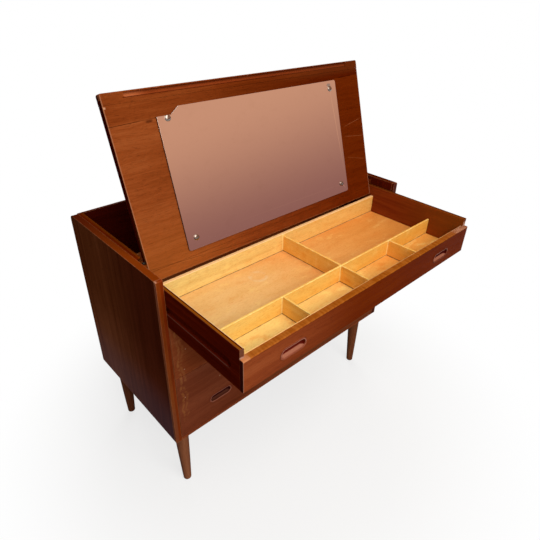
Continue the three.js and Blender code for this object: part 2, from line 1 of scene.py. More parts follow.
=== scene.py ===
"""Looks of the dressing chest: its woods, mirror and metal, the turned legs, the finger pulls and
the screw caps, with the studio round it. Lengths are in metres. X runs across the chest, Y from
front to back and Z up, and the chest stands on z = 0."""
import math

import bmesh
import bpy
import numpy as np
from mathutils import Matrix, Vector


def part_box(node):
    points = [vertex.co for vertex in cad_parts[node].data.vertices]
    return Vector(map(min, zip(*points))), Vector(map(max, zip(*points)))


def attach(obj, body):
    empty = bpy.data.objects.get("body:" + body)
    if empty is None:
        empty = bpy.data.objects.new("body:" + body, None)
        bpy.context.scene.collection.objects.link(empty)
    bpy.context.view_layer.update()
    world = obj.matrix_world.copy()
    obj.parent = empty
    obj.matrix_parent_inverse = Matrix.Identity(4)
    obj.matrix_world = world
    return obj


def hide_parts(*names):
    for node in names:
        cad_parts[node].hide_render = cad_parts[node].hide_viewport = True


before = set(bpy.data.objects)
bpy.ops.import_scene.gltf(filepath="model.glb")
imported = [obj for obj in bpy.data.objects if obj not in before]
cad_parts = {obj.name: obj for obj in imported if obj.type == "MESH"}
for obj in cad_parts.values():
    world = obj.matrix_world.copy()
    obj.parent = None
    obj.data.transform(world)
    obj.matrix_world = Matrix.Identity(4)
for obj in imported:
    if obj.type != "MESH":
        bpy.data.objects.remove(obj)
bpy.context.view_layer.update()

# The carcass
half_width = 0.450
carcass_top = 0.780
floor_level = 0.664

# The lid in its own place: its pins, how far it is swung open about them, the corners of its box,
# the middle of its finger groove, and where its two veneer joints lie at the chest's middle, with
# how far they slant towards its tail for each metre to the right
pin_place = (0.0, 0.0145, 0.771)
lid_swing = math.radians(107)
lid_low = (-0.418, -0.3705, -0.009)
lid_high = (0.418, 0.0495, 0.009)
lid_groove = -0.3625
front_joint_place, front_joint_slant = -0.3165, -0.0335
rear_joint_place, rear_joint_slant = 0.0535, 0.084

# Turned legs
leg_columns = 56
leg_rings = 44
foot_steps = 8
leg_length = 0.250
leg_shoulder = 0.022
leg_bow = (-0.0076, -0.0024)
leg_foot_round = 0.0035
leg_lean = 0.008
spigot_radius = 0.010
spigot_height = 0.013
spigot_chamfer = 0.0015
joint_gap = 0.0003

# Finger pulls: their middles' distance from the chest's middle, and their form
pull_reach = 0.294
pull_side_steps = 22
pull_turn_steps = 20
pull_edge_steps = 6
pull_scoop_steps = 26
pull_depth = 0.0137
pull_core = 0.024
pull_outer = 0.015
pull_open = 0.011
pull_round = 0.0008
pull_lip = 0.0006
pull_scoop = 0.0099
pull_hook_rise = 0.0017
pull_hook_depth = 0.0050
pull_hook_spread = 0.0028

# The lower arris of the runners' groove in the shallow drawer's sides
groove_low = 0.686

# Screw caps on the mirror, in the lid's own place
cap_places = {
    "mirror_screw_front_left": (-0.277, -0.3015),
    "mirror_screw_front_right": (0.277, -0.3015),
    "mirror_screw_rear_left": (-0.277, -0.0185),
    "mirror_screw_rear_right": (0.277, -0.0185),
}
cap_columns = 40
cap_rings = 12
cap_seat = -0.0136
cap_radius = 0.0075
cap_rim = 0.0008
cap_dome = 0.0023
shank_radius = 0.002
shank_top = 0.0

# Softened arrises of the CAD pieces, and how near two corners are to be taken for one
arris_width = 0.0007
arris_angle = math.radians(35)
weld_distance = 0.00001

# New surfaces: how near two corners are to be taken for one, and the angle of a sharp edge
merge_distance = 0.000001
crease_angle = math.radians(38)

# Wood tones as seen in plain light: deep, middle, light and the bare tone of a worn edge
teak_lid = ("783612", "8a421b", "995026", "ac7046")
teak_front = ("80381c", "924522", "a0542e", "bc8058")
# teak_middle and teak_lower are lit and shaded copies of the front teak: teak_lower is darkened as
# painted shade under the pulled-out drawer, and teak_middle is lightened as painted light against
# that drawer's shadow
teak_middle = ("7e381c", "944826", "a25632", "b47850")
teak_lower = ("74351d", "88442b", "965035", "b47850")
teak_pull = ("84402a", "985038", "a8644a", "bc8462")
teak_side = ("763c22", "905334", "a66244", "b0724e")
teak_strip = ("66300a", "7c3c0c", "8e4c12", "a86c34")
teak_edge = ("7e3c10", "90461a", "9e5428", "ae7048")
teak_drawer = ("5c1e08", "6f290d", "823714", "a2602e")
teak_turned = ("804a30", "985c3c", "aa704e", "b88462")
beech = ("e2bc6c", "eed080", "f5dc94", "fce8b0")
divider_beech = ("f0b654", "facc6a", "fdd880", "fee6a0")
birch = ("e0a660", "ebbc76", "f3cd8e", "fadea8")
# A guessed, darker wood for the insides of the two deep drawers, dark partly as painted shade where
# they show through the gap above the shallow drawer's low back
lower_drawer_dark_wood = ("b06636", "c47842", "d48a52", "e0a878")


def tint(code):
    """The linear colour of a code of two hexadecimal digits each for red, green and blue. A share c
    becomes c / 12.92 when it is dark, and otherwise (c + 0.055) / 1.055 to the power 2.4."""
    shares = [int(code[place:place + 2], 16) / 255 for place in (0, 2, 4)]
    linear = [share / 12.92 if share <= 0.04045 else ((share + 0.055) / 1.055) ** 2.4
              for share in shares]
    return (*linear, 1.0)


class Wire:
    """One output of a node. Arithmetic on wires and numbers adds the Math nodes that work it out,
    and node() adds any other node."""

    def __init__(self, tree, socket=None):
        self.tree = tree
        self.socket = socket

    def node(self, kind, settings=None, inputs=None, output=0):
        """A new node: its settings first, then the values or wires of its inputs. Returns the wire
        of one output, if it has any."""
        made = self.tree.nodes.new(kind)
        for name, value in (settings or {}).items():
            if name == "stops":
                fill_ramp(made.color_ramp, value)
            else:
                setattr(made, name, value)
        for name, value in (inputs or {}).items():
            if isinstance(value, Wire):
                self.tree.links.new(value.socket, made.inputs[name])
            else:
                made.inputs[name].default_value = value
        return Wire(self.tree, made.outputs[output] if made.outputs else None)

    def other(self, output):
        """Another output of the same node."""
        return Wire(self.tree, self.socket.node.outputs[output])

    def sum(self, operation, *values):
        """A Math node over values and wires."""
        return self.node("ShaderNodeMath", {"operation": operation}, dict(enumerate(values)))

    def __add__(self, value):
        return self.sum("ADD", self, value)

    def __radd__(self, value):
        return self.sum("ADD", value, self)

    def __sub__(self, value):
        return self.sum("SUBTRACT", self, value)

    def __rsub__(self, value):
        return self.sum("SUBTRACT", value, self)

    def __mul__(self, value):
        return self.sum("MULTIPLY", self, value)

    def __rmul__(self, value):
        return self.sum("MULTIPLY", value, self)

    def __abs__(self):
        return self.sum("ABSOLUTE", self)


def fill_ramp(ramp, stops):
    """Sets a ramp's stops from places and colours."""
    while len(ramp.elements) < len(stops):
        ramp.elements.new(1.0)
    for element, (place, colour) in zip(ramp.elements, stops):
        element.position = place
        element.color = colour


def rise(value, low, high):
    """A smooth step of value: 0 at low and 1 at high. It falls instead where low is the greater."""
    limits = {"Value": value, "From Min": low, "From Max": high}
    return value.node("ShaderNodeMapRange", {"interpolation_type": "SMOOTHSTEP"}, limits)


def least(first, second):
    """The lesser of two values."""
    return first.sum("MINIMUM", first, second)


def most(first, second):
    """The greater of two values."""
    return first.sum("MAXIMUM", first, second)


def mixed(amount, first, second):
    """The first colour going over to the second as amount goes from 0 to 1."""
    return amount.node("ShaderNodeMix", {"data_type": "RGBA"}, {0: amount, 6: first, 7: second}, 2)


def darkened(amount, colour, code):
    """The colour multiplied by a tint where amount is 1."""
    settings = {"data_type": "RGBA", "blend_type": "MULTIPLY"}
    return amount.node("ShaderNodeMix", settings, {0: amount, 6: colour, 7: tint(code)}, 2)


def noise(at, stretch, seed, detail=3.0, roughness=0.5):
    """Cloudy noise, stretched by a scale on each axis. Its seed moves it to another place."""
    shift = (seed, 1.7 * seed, -seed)
    placed = at.node("ShaderNodeMapping", None, {"Vector": at, "Location": shift, "Scale": stretch})
    values = {"Vector": placed, "Scale": 1.0, "Detail": detail, "Roughness": roughness}
    return at.node("ShaderNodeTexNoise", None, values, "Fac")


def stretched(along, slow, fast):
    """Scales of a pattern that is slow along the grain's axis and fast across it."""
    return tuple(slow if axis == along else fast for axis in "xyz")


def band(value, middle, half, soft):
    """1 within half of the middle, falling smoothly to 0 over a soft border."""
    return rise(abs(value - middle), half + soft, half)


def chest_place(tree):
    """A point's place on the chest at rest."""
    return Wire(tree).node("ShaderNodeTexCoord", output="Object")


def lid_place(tree):
    """A point's place on the lid about its pins: Y runs towards its tail, and Z through its
    thickness, up from the mirror's side."""
    turned_back = {"Vector": chest_place(tree), "Location": pin_place,
                   "Rotation": (-lid_swing, 0, 0)}
    return Wire(tree).node("ShaderNodeMapping", {"vector_type": "TEXTURE"}, turned_back)


def edge_distance(at, low, high):
    """Distance from the nearest arris of a box, for a point on its faces: of the three distances to
    the box's sides, the one in the middle."""
    x = at.node("ShaderNodeSeparateXYZ", None, {0: at})
    gaps = []
    for place, a, b in zip((x, x.other(1), x.other(2)), low, high):
        gaps.append((b - a) / 2 - abs(place - (a + b) / 2))
    smallest = least(least(gaps[0], gaps[1]), gaps[2])
    largest = most(most(gaps[0], gaps[1]), gaps[2])
    return gaps[0] + gaps[1] + gaps[2] - smallest - largest


def material(name):
    """An empty node material."""
    made = bpy.data.materials.new(name)
    made.use_nodes = True
    made.node_tree.nodes.clear()
    return made


def finished(made, shader):
    """Ends a material with its shader."""
    shader.node("ShaderNodeOutputMaterial", None, {"Surface": shader})
    return made


def wood(name, tones, along, seed, place=chest_place, box=None, wear=0.5, shine=0.5, contrast=1.0,
         gloss=0.05, fineness=1.0, shortness=1.0, sway=0.034, figure=1.15, pore=0.5, right_shade_tint=None,
         right_shade_reach=(-0.45, 0.35), marks=None):
    """Oiled wood. Its tone is a sum of slow bands and fine lines of noise drawn out along the grain
    and bent by a slower noise. Pores are short dark dashes, and the arrises of the box are worn to
    the bare tone. Wear is how much of that tone they show and contrast how far the other tones lie
    apart. Fineness is how closely the lines lie, shortness how soon they end, sway how far they
    bend, figure how strong the bands are and pore how dark the pores are. Shine is the mean
    roughness and gloss the strength of the reflection. The right shade tint is painted shade: a
    darker, warmer tint multiplied in towards the chest's right end, over its reach in X, for the
    dimmer and warmer light there. Marks are added by a function of the place and the colour."""
    made = material(name)
    at = place(made.node_tree)
    across = tuple(0.0 if axis == along else 1.0 for axis in "xyz")
    flow = noise(at, stretched(along, 3.2 * shortness, 15), seed, 2.0)
    bend = {0: across, "Scale": (flow - 0.5) * sway}
    shift = at.node("ShaderNodeVectorMath", {"operation": "SCALE"}, bend)
    bent = at.node("ShaderNodeVectorMath", None, {0: at, 1: shift})
    bands = noise(bent, stretched(along, 1.5 * shortness, 46 * fineness), seed + 3, 4.0, 0.6)
    lines = noise(bent, stretched(along, 6 * shortness, 260 * fineness), seed + 7, 3.0, 0.6)
    pores = rise(noise(bent, stretched(along, 42, 1300), seed + 11, 2.0), 0.57, 0.70)
    clouds = noise(at, (4.0, 4.0, 4.0), seed + 17, 2.0)
    tone = 0.5 + contrast * ((bands - 0.5) * figure + (lines - 0.5) * 0.6 + (clouds - 0.5) * 0.5)
    stops = [(0.22, tint(tones[0])), (0.5, tint(tones[1])), (0.8, tint(tones[2]))]
    colour = tone.node("ShaderNodeValToRGB", {"stops": stops}, {"Fac": tone})
    colour = darkened(pores * pore, colour, "8a7468")
    # Painted shade: a darker, warmer tint towards the chest's right end
    if right_shade_tint:
        across_chest = at.node("ShaderNodeSeparateXYZ", None, {0: at})
        colour = darkened(rise(across_chest, *right_shade_reach), colour, right_shade_tint)
    if marks:
        colour = marks(at, colour)
    roughness = shine + (lines - 0.5) * 0.2 + pores * 0.16
    if box:
        ragged = noise(at, (90.0, 90.0, 90.0), seed + 23)
        worn = rise(edge_distance(at, *box) + (ragged - 0.5) * 0.003, 0.0015, 0.0001) * wear
        colour = mixed(worn, colour, tint(tones[3]))
        roughness = roughness + worn * 0.12
    height = (lines - 0.5) * 0.5 - pores
    relief = {"Height": height, "Strength": 0.35, "Distance": 0.0003}
    normal = at.node("ShaderNodeBump", None, relief)
    values = {"Base Color": colour, "Roughness": roughness, "Normal": normal,
              "Specular IOR Level": gloss}
    return finished(made, at.node("ShaderNodeBsdfPrincipled", None, values))


def lid_marks(at, colour):
    """The lid: deeper and redder towards the right, a painted shade for the dimmer, warmer light
    there. Its veneer has a slanted joint before the mirror and another behind it, each a fine dark
    line, and the leaf before the first is deeper, more so towards the right as painted shade, but a
    little warmer at its front right corner. The lid's ends are dark with a pale arris, and the
    shaded floor of its finger groove is painted orange as light, most at the left end. At the left
    are a small dark bruise, a pale fleck and a golden patch near the tail, and three light
    scratches run straight across the right margin."""
    x = at.node("ShaderNodeSeparateXYZ", None, {0: at})
    y, z = x.other(1), x.other(2)
    half_lid, mirror_side = lid_high[0], lid_low[2]
    under = rise(z, 0.002, -0.002)
    front_joint = y - front_joint_place - x * front_joint_slant
    rear_joint = y - rear_joint_place - x * rear_joint_slant
    # Painted shade: darker and redder towards the right, for the dimmer, warmer light there
    right = rise(x, -0.45, 0.40)
    front_leaf = rise(front_joint, 0.0006, -0.0006) * under
    colour = darkened(front_leaf * (0.35 + right * 0.65), colour, "d4b888")
    colour = darkened(right * under, colour, "b68a46")
    colour = darkened(rise(abs(x), half_lid - 0.0010, half_lid - 0.0002), colour, "8a3420")
    arris = band(abs(x), half_lid - 0.0016, 0.0006, 0.0006)
    arris = arris * rise(z, mirror_side + 0.0012, mirror_side + 0.0004)
    colour = mixed(arris * 0.35, colour, tint("c08a6c"))
    # Painted light: the groove's shaded floor is lit orange, most at its left end
    groove = rise(z, mirror_side + 0.0003, mirror_side + 0.0018)
    groove = groove * band(y, lid_groove, 0.0054, 0.0004) * under
    end = rise(x, -0.300, -0.345)
    groove_tone = mixed(end, tint("9c4220"), tint("c06c40"))
    colour = mixed(groove * (0.3 + end * 0.3), colour, groove_tone)
    lower_lip = band(y, lid_groove + 0.0055, 0.0005, 0.0006) * rise(abs(x), 0.371, 0.366) * under
    colour = darkened(lower_lip * 0.8, colour, "82402c")
    joint = most(band(front_joint, 0.0, 0.0004, 0.0007), band(rear_joint, 0.0, 0.0003, 0.0006))
    ragged = rise(noise(at, (30.0, 30.0, 30.0), 5.0), 0.30, 0.55)
    colour = darkened(joint * under * ragged * 0.75, colour, "5a3222")
    bruise = band(x, -0.322, 0.004, 0.008) * band(front_joint, 0.004, 0.001, 0.004)
    colour = darkened(bruise * under * 0.6, colour, "5c2c1c")
    top_right = rise(y, -0.330, -0.350) * rise(x, -0.05, 0.25) * under
    colour = mixed(top_right * 0.07, colour, tint("c07038"))
    low_left = rise(y, -0.16, 0.04) * rise(x, -0.10, -0.34) * under
    colour = mixed(low_left * 0.2, colour, tint("c47430"))
    broken = rise(noise(at, (60.0, 60.0, 60.0), 7.0), 0.30, 0.50)
    margin = band(x, 0.368, 0.034, 0.012) * broken * under
    scratches = ((-0.1847, -0.172, 0.30), (-0.1557, 0.130, 0.24), (-0.0906, 0.240, 0.16))
    for place, slant, strength in scratches:
        scratch = band(y - (x - 0.325) * slant, place, 0.0005, 0.0010)
        colour = mixed(scratch * margin * strength, colour, tint("b06c44"))
    fleck = band(x, -0.4145, 0.0015, 0.002) * band(y, -0.341, 0.001, 0.002)
    return mixed(fleck * under * 0.7, colour, tint("d9a27c"))


def side_marks(at, colour):
    """A side: darker towards the front. It is darker towards the top and greyer at its foot: a
    painted sheen of the floor that grows low down, partly dust. On the chest's right it is warmer
    and darker, a painted shade. Its upper edge is orange, redder at the back, and darker on the
    right, also a painted shade."""
    x = at.node("ShaderNodeSeparateXYZ", None, {0: at})
    y, height = x.other(1), x.other(2)
    colour = darkened(rise(y, 0.26, -0.02), colour, "b89a9c")
    # Painted sheen, partly dust: darker above and greyer low down
    colour = darkened(rise(height, 0.36, 0.58), colour, "d4c4ae")
    colour = mixed(rise(height, 0.46, 0.28) * 0.28, colour, tint("766a7c"))
    # Painted shade: warmer and darker on the chest's right
    colour = darkened(rise(x, 0.0, 0.4), colour, "f4b488")
    top = rise(height, carcass_top - 0.0015, carcass_top - 0.0005)
    edge_tone = mixed(rise(y, 0.05, 0.35), tint("843606"), tint("5e1a04"))
    colour = mixed(top * 0.9, colour, edge_tone)
    # Painted shade: the upper edge darker on the chest's right
    return darkened(top * rise(x, 0.0, 0.4), colour, "a48c78")


def strip_marks(at, colour):
    """A guide strip at the top: the left one is golden, most along its inner half, and the right
    one is much darker, a painted shade."""
    x = at.node("ShaderNodeSeparateXYZ", None, {0: at})
    left, right = rise(x, 0.2, -0.2), rise(x, 0.2, 0.4)
    # Painted shade on the right strip
    colour = mixed(right * 0.85, colour, tint("481206"))
    colour = darkened(left, colour, "dc9030")
    inner_half = rise(x, 0.0238 - half_width, 0.0254 - half_width)
    return mixed(inner_half * left * 0.25, colour, tint("8a5010"))


def lipping_marks(at, colour):
    """A front lipping: a redder, darker inner half, a duller outer half at its foot, and a pale
    bruise on its top corner. The right one is darker as a whole, a painted shade."""
    x = at.node("ShaderNodeSeparateXYZ", None, {0: at})
    height = x.other(2)
    inward = rise(abs(x), half_width - 0.0085, half_width - 0.0105)
    colour = darkened(inward, colour, "ecc48c")
    # Painted shade: the right lipping darker
    colour = darkened(rise(x, 0.0, 0.3), colour, "907868")
    colour = darkened(rise(height, 0.40, 0.62), colour, "fce4c8")
    colour = mixed(rise(height, 0.42, 0.34) * (1 - inward) * 0.4, colour, tint("784230"))
    bruise = rise(height, carcass_top - 0.0025, carcass_top - 0.0005)
    bruise = bruise * rise(abs(x), half_width - 0.0060, half_width - 0.0010)
    return mixed(bruise * 0.7, colour, tint("d0987c"))


def top_side_marks(at, colour):
    """The shallow drawer's sides: browner on the inner face, most at the front, and darker and
    redder on the outer one, a painted shade, with a dull line along the groove's lower arris. The
    upper edge is dark, and on the left side its inner arris is pale. At the front corner the end
    grain shows, with a pale chip."""
    x = at.node("ShaderNodeSeparateXYZ", None, {0: at})
    y, z = x.other(1), x.other(2)
    low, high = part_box("drawer_top_side_right")
    inner = rise(abs(x), low.x + 0.0017, low.x + 0.0007)
    colour = mixed((rise(y, -0.06, -0.33) * 0.39 + 0.09) * inner, colour, tint("925014"))
    # Painted shade: the outer faces are darker and redder
    colour = darkened(rise(abs(x), low.x + 0.0017, low.x + 0.0027), colour, "d89c90")
    lower_arris = band(z, groove_low - 0.0008, 0.0008, 0.0008) * rise(y, -0.32, -0.30)
    lower_arris = lower_arris * rise(abs(x), high.x - 0.0013, high.x - 0.0005)
    colour = mixed(lower_arris * 0.3, colour, tint("8a685c"))
    top = rise(z, high.z - 0.0015, high.z - 0.0002)
    left = rise(x, 0.2, -0.2)
    colour = mixed(top * 0.9, colour, mixed(left, tint("74380e"), tint("8e4c0a")))
    inner_arris = rise(abs(x), low.x + 0.0028, low.x + 0.0022) * left
    colour = mixed(top * inner_arris, colour, tint("ffd8a4"))
    colour = darkened(top * band(abs(x), low.x + 0.0045, 0.0010, 0.0006), colour, "8c4c28")
    outer_arris = rise(abs(x), high.x - 0.0016, high.x - 0.0006)
    colour = mixed(top * outer_arris * 0.5, colour, tint("a07058"))
    ragged = noise(at, (260.0, 260.0, 260.0), 61.0, 2.0) - 0.5
    front_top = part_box("drawer_top_front")[1].z
    end = rise(y + ragged * 0.003, low.y + 0.0014, low.y) * rise(z, front_top - 0.0015, front_top)
    colour = mixed(end * 0.8, colour, tint("7a4c38"))
    chip_height = z - rise(x, -0.2, 0.2) * 0.009 + ragged * 0.006
    chip = rise(chip_height, front_top + 0.0060, front_top + 0.0025) * end
    return mixed(chip * 0.6, colour, tint("d8a890"))


def blotched(at, colour, seed, amount):
    """Pale wood with cloudy figure: deeper orange patches and lighter yellow ones, and a fine
    fleck."""
    patches = noise(at, (18.0, 34.0, 34.0), seed, 4.0, 0.6)
    flecks = noise(at, (130.0, 420.0, 420.0), seed + 1, 2.0)
    colour = darkened(rise(patches, 0.46, 0.30) * amount, colour, "f6ca98")
    colour = mixed(rise(patches, 0.54, 0.72) * amount * 0.8, colour, tint("ffe890"))
    return darkened(rise(flecks, 0.54, 0.68) * 0.5, colour, "f0d4b4")


def wall_marks(at, colour):
    """A long wall of the compartments: a fine brown line where it meets the floor, a painted shadow
    in the crease, and a pale line of bare wood beside each divider that is housed in it, on the
    side where that divider is. The low back's upper arris is a pinker cream."""
    x = at.node("ShaderNodeSeparateXYZ", None, {0: at})
    y, z = x.other(1), x.other(2)
    divider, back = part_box("divider_long"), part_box("drawer_top_back")
    front_half = rise(y, divider[1].y - 0.001, divider[0].y + 0.001)
    rear_half = (1 - front_half) * rise(y, back[1].y - 0.001, back[1].y - 0.003)
    for node in ("divider_rear", "divider_front_1", "divider_front_2", "divider_front_3"):
        beside = band(x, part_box(node)[0].x - 0.0022, 0.0016, 0.0010)
        shown = rear_half if node == "divider_rear" else front_half
        colour = mixed(beside * shown * 0.6, colour, tint("ffec9c"))
    colour = blotched(at, colour, 27.0, 0.3)
    arris = rise(z, back[1].z - 0.0016, back[1].z - 0.0006)
    arris = arris * rise(y, back[0].y - 0.001, back[0].y - 0.0005)
    colour = mixed(arris * 0.7, colour, tint("ffc48c"))
    ragged = rise(noise(at, (22.0, 22.0, 4.0), 63.0), 0.30, 0.50)
    # Painted shadow in the crease where the wall meets the floor
    foot = rise(z, floor_level + 0.0032, floor_level + 0.0018)
    return darkened(foot * (0.7 + ragged * 0.3), colour, "8c682c")


def cross_marks(at, colour):
    """A short divider: a dark line where it meets the floor, a painted shadow in the crease."""
    height = at.node("ShaderNodeSeparateXYZ", None, {0: at}, 2)
    colour = blotched(at, colour, 29.0, 0.4)
    # Painted shadow in the crease where the divider meets the floor
    return darkened(rise(height, floor_level + 0.0034, floor_level + 0.0022), colour, "6c3410")


def floor_marks(at, colour):
    """The shallow drawer's floor: before the long divider it is more figured and yellower, going
    over to orange at the right as painted warmer, dimmer light, and behind it there is a faint
    broken ring."""
    x = at.node("ShaderNodeSeparateXYZ", None, {0: at})
    y = x.other(1)
    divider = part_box("divider_long")[0].y
    front = rise(y, divider + 0.002, divider)
    # Painted light: warmer, dimmer light towards the right
    yellow = mixed(rise(x, -0.30, 0.30), tint("fcdc84"), tint("f0ac50"))
    colour = mixed(front * 0.7, colour, yellow)
    colour = blotched(at, colour, 33.0, 0.25 + front * 0.35)
    across, along = x + 0.148, y + 0.077
    ring = band(across * across + along * along, 0.0005, 0.0001, 0.0002)
    broken = rise(noise(at, (70.0, 70.0, 0.0), 39.0, 2.0), 0.40, 0.60)
    return mixed(ring * broken * 0.25, colour, tint("e6d2ae"))


def pull_marks(face, centre, scoop_code, hook_shade_code, lit_lip_foot):
    """Marks of a finger pull whose face is at a depth and whose middle is at a height: its lip is a
    painted highlight above a foot, the floor of its scoop has a tone of its own, near black in the
    lower drawers as painted shade, and the deep part under the hook is darkened as painted shade,
    with a painted shadow line round the outside of the rim."""
    def marks(at, colour):
        x = at.node("ShaderNodeSeparateXYZ", None, {0: at})
        depth, up = x.other(1) - face, x.other(2) - centre
        along = most(abs(abs(x) - pull_reach) - pull_core, 0.0)
        away = along.sum("SQRT", along * along + up * up)
        rim = rise(depth, 0.0009, 0.0003)
        # Painted highlight where the lip catches the light
        lip = band(away, pull_open + 0.0009, 0.0004, 0.0005) * rim
        colour = mixed(lip * rise(up, lit_lip_foot, lit_lip_foot + 0.006) * 0.6, colour, tint("c08472"))
        # Painted shadow of the raised rim, along its outside
        border = band(away, pull_outer - 0.0006, 0.0004, 0.0005) * rim
        colour = darkened(border * rise(up, -0.004, 0.004) * 0.7, colour, "7c4430")
        # Painted shade: the scoop's floor tone, and the deep part under the hook darkened
        inside = rise(depth, 0.0007, 0.0022)
        deep = rise(up, -0.0078, -0.0062)
        colour = mixed(inside * (1 - deep) * 0.7, colour, tint(scoop_code))
        return darkened(inside * deep * (1 - rise(up, -0.001, 0.004) * 0.5), colour, hook_shade_code)
    return marks


def lower_front_marks(at, colour):
    """The lower fronts: two wavering pale streaks near the left end and a few small chips. The
    lowest front is darker, a painted shade, and lighter and warmer along its foot at the right,
    painted light on its shaded lower strip."""
    x = at.node("ShaderNodeSeparateXYZ", None, {0: at})
    z = x.other(2)
    wave = noise(at, (0.0, 0.0, 26.0), 41.0, 2.0) - 0.5
    fade = rise(z, 0.30, 0.36) * rise(z, 0.67, 0.60)
    grainy = rise(noise(at, (70.0, 70.0, 90.0), 43.0), 0.38, 0.58)
    for place, swing, strength in ((-0.4165, 0.020, 0.44), (-0.4065, 0.034, 0.28)):
        streak = band(x - place - wave * swing, 0.0, 0.0016, 0.0035)
        colour = mixed(streak * fade * grainy * strength, colour, tint("c07c46"))
    chips = ((-0.3936, 0.5611), (-0.4081, 0.4012), (-0.2948, 0.4054), (-0.402, 0.498))
    for place, height in chips:
        chip = band(x, place, 0.0010, 0.0012) * band(z, height, 0.0008, 0.0012)
        colour = mixed(chip * 0.8, colour, tint("d8a888"))
    # Painted shade: the lowest front darker
    colour = darkened(rise(z, 0.47, 0.44), colour, "ebe4dc")
    # Painted light: a lighter, warmer strip along the lowest front's foot
    foot = rise(z, 0.29, 0.275) * rise(x, -0.25, -0.10)
    return mixed(foot * 0.3, colour, tint("a05c34"))


def top_front_marks(at, colour):
    """The shallow drawer's front: its upper face is rubbed to a golden, fibrous tone, browner and
    crumbling at the right, with a pale inner arris and a pink bruise at the left corner. Its ends
    are dark, with pale corners."""
    x = at.node("ShaderNodeSeparateXYZ", None, {0: at})
    y, z = x.other(1), x.other(2)
    low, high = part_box("drawer_top_front")
    fibres = noise(at, (160.0, 30.0, 30.0), 51.0)
    rubbed = rise(z + (fibres - 0.5) * 0.004, high.z - 0.0038, high.z - 0.0008)
    golden = mixed(rise(fibres, 0.35, 0.65), tint("954d0b"), tint("ab611e"))
    colour = mixed(rubbed * 0.8, colour, golden)
    inner = rise(y, high.y - 0.0028, high.y - 0.0022) * rise(z, high.z - 0.0038, high.z - 0.0020)
    colour = mixed(inner * (0.4 + rise(x, 0.0, -0.28) * 0.6), colour, tint("ffc880"))
    bruise = rise(x + (fibres - 0.5) * 0.03, -0.405, -0.420)
    bruise = bruise * rise(z, high.z - 0.0050, high.z - 0.0015)
    colour = mixed(bruise * 0.75, colour, tint("cc8458"))
    colour = mixed(rise(x, 0.28, 0.41) * rubbed * 0.6, colour, tint("84482e"))
    crumbs = rise(noise(at, (420.0, 420.0, 420.0), 53.0), 0.44, 0.56)
    patch = band(x, 0.394, 0.022, 0.014) * crumbs * rubbed
    colour = mixed(patch * 0.5, colour, tint("d4a488"))
    arris = band(z, high.z - 0.0038, 0.0004, 0.0008)
    colour = darkened(arris * 0.5, colour, "8a4a30")
    end = rise(abs(x), high.x - 0.0008, high.x - 0.0002)
    colour = darkened(end, colour, "64240c")
    corner = band(abs(x), high.x - 0.0006, 0.0005, 0.0005) * rise(y, low.y + 0.0012, low.y + 0.0006)
    return mixed(corner * 0.45, colour, tint("c08870"))


def back_marks(at, colour):
    """The back panel: its inner face is far darker than its outer one, a painted shade inside the
    carcass.
    """
    y = at.node("ShaderNodeSeparateXYZ", None, {0: at}, 1)
    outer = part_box("back_panel")[1].y
    # Painted shade on the inner face
    return darkened(rise(y, outer - 0.001, outer - 0.003), colour, "803818")


def leg_marks(at, colour):
    """The legs: the rear ones are darker, a painted shade."""
    y = at.node("ShaderNodeSeparateXYZ", None, {0: at}, 1)
    # Painted shade on the rear legs
    return darkened(rise(y, 0.0, 0.2), colour, "b8a494")


def surface(name, points):
    """A mesh over a grid of points, whose columns close on themselves. The rings at both ends are
    drawn together to a point or a line, and there the doubled corners are merged."""
    rows, columns = points.shape[:2]
    row, column = np.meshgrid(np.arange(rows - 1), np.arange(columns), indexing="ij")
    following = (column + 1) % columns
    here, above = row * columns, (row + 1) * columns
    quads = np.stack([here + column, here + following, above + following, above + column], axis=-1)
    mesh = bpy.data.meshes.new(name)
    mesh.from_pydata(points.reshape(-1, 3).tolist(), [], quads.reshape(-1, 4).tolist())
    closed = bmesh.new()
    closed.from_mesh(mesh)
    bmesh.ops.remove_doubles(closed, verts=closed.verts, dist=merge_distance)
    bmesh.ops.recalc_face_normals(closed, faces=closed.faces)
    closed.to_mesh(mesh)
    closed.free()
    mesh.shade_smooth()
    mesh.set_sharp_from_angle(angle=crease_angle)
    piece = bpy.data.objects.new(name, mesh)
    bpy.context.scene.collection.objects.link(piece)
    return piece


def rings(profile, columns):
    """Rings about Z: a profile of radius and height, turned through columns even angles."""
    angle = np.linspace(0, 2 * np.pi, columns, endpoint=False)
    radius, height = profile[:, :1], profile[:, 1:]
    return np.stack([radius * np.cos(angle), radius * np.sin(angle), height + 0 * angle], axis=-1)


def quarter(centre, radius, start, end, steps):
    """Points of an arc about a centre, between two angles."""
    angle = np.linspace(start, end, steps)
    return radius * np.stack([np.cos(angle), np.sin(angle)], axis=-1) + centre


def leg(name, x, y, lean):
    """A turned leg. Below the shoulder its radius is the shoulder's plus a bow in the share s of
    its length, a s + b s squared, and the foot's rim is a quarter round. Every ring under the
    carcass is shifted along Y by lean times s. The spigot above stands upright."""
    share = np.linspace(0, 1 - leg_foot_round / leg_length, leg_rings)
    radius = leg_shoulder + leg_bow[0] * share + leg_bow[1] * share ** 2
    taper = np.stack([radius, -share * leg_length], axis=-1)[::-1]
    foot_radius = taper[0, 0] - leg_foot_round
    foot_centre = (foot_radius, leg_foot_round - leg_length)
    foot = quarter(foot_centre, leg_foot_round, -np.pi / 2, 0, foot_steps)
    taper[-1, 1] = -joint_gap
    above = [(spigot_radius, -joint_gap), (spigot_radius, spigot_height - spigot_chamfer),
             (spigot_radius - spigot_chamfer, spigot_height), (0, spigot_height)]
    profile = np.concatenate([[(0, -leg_length)], foot[:-1], taper, above])
    points = rings(profile, leg_columns)
    points[..., 1] += lean * np.clip(-points[..., 2] / leg_length, 0, 1)
    return surface(name, points + np.array([x, y, leg_length]))


